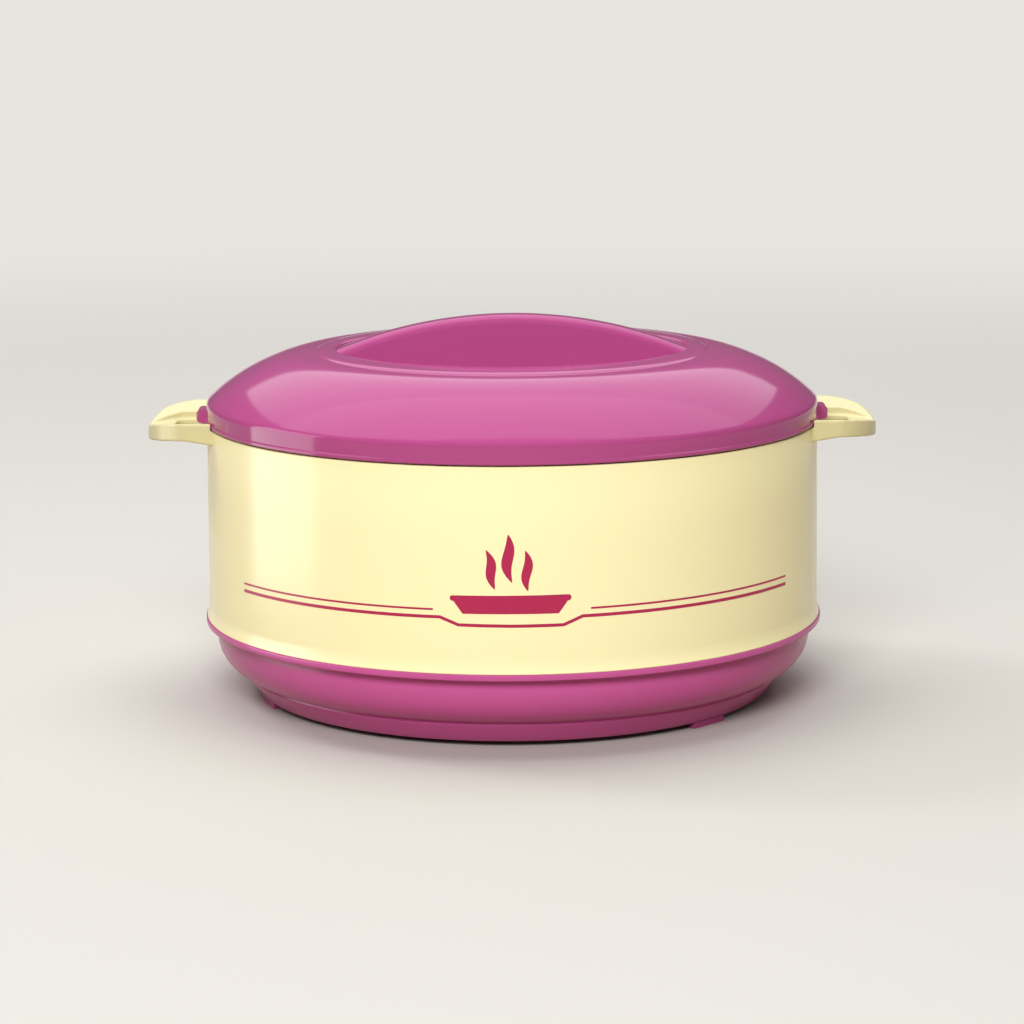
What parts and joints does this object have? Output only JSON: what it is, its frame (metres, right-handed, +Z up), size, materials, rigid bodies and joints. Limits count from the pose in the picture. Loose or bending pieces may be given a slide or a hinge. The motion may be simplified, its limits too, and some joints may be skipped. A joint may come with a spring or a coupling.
{
  "type": "insulated casserole",
  "caption": "Round insulated casserole for flat breads: steel bowl in a cream tapered wall, rose base and handles, and a lift-off domed lid that turns to lock.",
  "frame": {"origin": "middle of the footprint, at the underside of the feet", "axes": "+X towards the right handle, +Y towards the back, +Z up"},
  "size_m": [0.2892, 0.246, 0.151],
  "materials": {
    "cream_plastic": "glossy moulded",
    "cream_handle": "glossy moulded",
    "rose_plastic": "glossy moulded",
    "rose_base": "glossy moulded",
    "print_ink": "printed on the wall",
    "rose_liner": "satin moulded",
    "stainless": "brushed inside",
    "foam": "rigid foam",
    "plug_plastic": "satin moulded",
    "foot_rubber": "matt",
    "seal_rubber": "matt",
    "zinc_screw": "zinc plated"
  },
  "bodies": {
    "base": {"outer_body": "cream_plastic", "inner_bowl": "stainless", "body_insulation": "foam", "base_cover": "rose_base", "base_foam_plug": "plug_plastic", "foot_front_right": "foot_rubber", "foot_rear": "foot_rubber", "foot_left": "foot_rubber", "handle_right": "cream_handle", "handle_left": "cream_handle", "handle_screws_right": "zinc_screw", "handle_screws_left": "zinc_screw"},
    "seal": {"lid_seal": "seal_rubber"},
    "lid": {"lid_outer": "rose_plastic", "lid_insulation": "foam", "lid_liner": "rose_liner", "lid_foam_plug": "plug_plastic"}
  },
  "joints": [
    {"name": "lid_lift", "type": "slide", "parent": "base", "child": "seal", "axis": [0, 0, 1], "range_m": [0, 0.12]},
    {"name": "lid_twist", "type": "hinge", "parent": "seal", "child": "lid", "pos_m": [0, 0, 0.118], "axis": [0, 0, 1], "range_deg": [-5.2, 0]}
  ]
}
